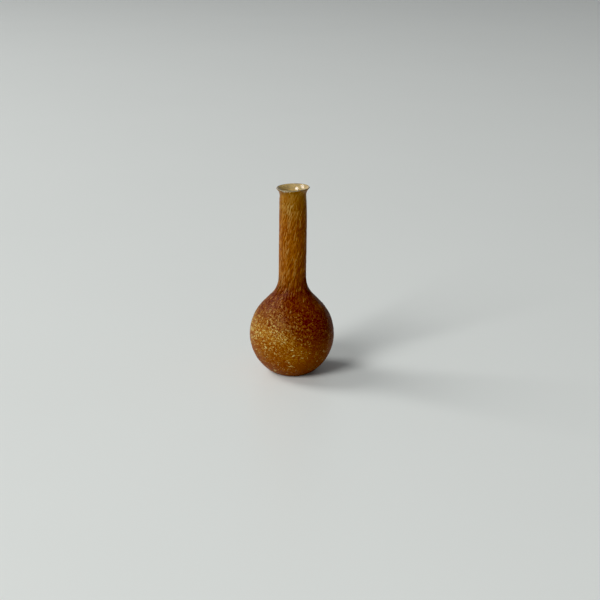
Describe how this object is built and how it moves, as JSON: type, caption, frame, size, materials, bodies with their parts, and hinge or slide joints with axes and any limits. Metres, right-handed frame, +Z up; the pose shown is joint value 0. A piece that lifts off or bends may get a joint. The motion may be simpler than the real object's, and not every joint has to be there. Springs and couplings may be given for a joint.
{
  "type": "bud vase",
  "caption": "Hand-blown glass bud vase: round bulb on a flat foot, long narrow neck and flared lip; clear inner vessel under a mottled amber coat of melted glass grains.",
  "frame": {"origin": "centre of the foot, on the surface the vase stands on", "axes": "+Z up along the axis of the neck; the shape is round about Z, so +X and +Y are free"},
  "size_m": [0.076, 0.076, 0.17],
  "materials": {
    "straw_glass": "clear straw glass, fire polished; ground and polished at the foot",
    "amber_glass": "dense brown-amber glass, barely see-through",
    "pale_frit": "melted grains of cream, gold and amber glass, slightly uneven; drawn into streaks on the neck"
  },
  "bodies": {
    "root": {"inner_glass": "straw_glass", "amber_coat": "amber_glass", "frit_layer": "pale_frit"}
  },
  "joints": []
}
